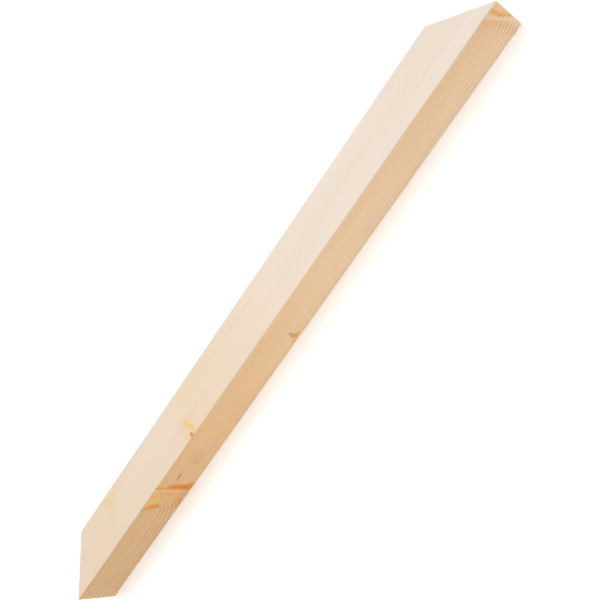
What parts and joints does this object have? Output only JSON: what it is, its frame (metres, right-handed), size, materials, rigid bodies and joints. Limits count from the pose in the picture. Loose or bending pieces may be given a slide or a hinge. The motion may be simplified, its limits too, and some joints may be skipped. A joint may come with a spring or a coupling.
{
  "type": "mitred timber batten",
  "caption": "Planed square softwood batten with both ends mitred at 45 degrees towards one face, for bracing a post to a beam or joining a square frame.",
  "frame": {"origin": "middle of the bounding box's bottom: on the lower cheek, half way along the batten", "axes": "+X along the batten, -Y out of the long outer face, +Y out of the short inner face, +Z out of the upper cheek"},
  "size_m": [0.65, 0.045, 0.045],
  "materials": {
    "planed_softwood": "planed and bare, dull; sawn on the two mitred ends"
  },
  "bodies": {
    "root": {"mitred_batten": "planed_softwood"}
  },
  "joints": []
}
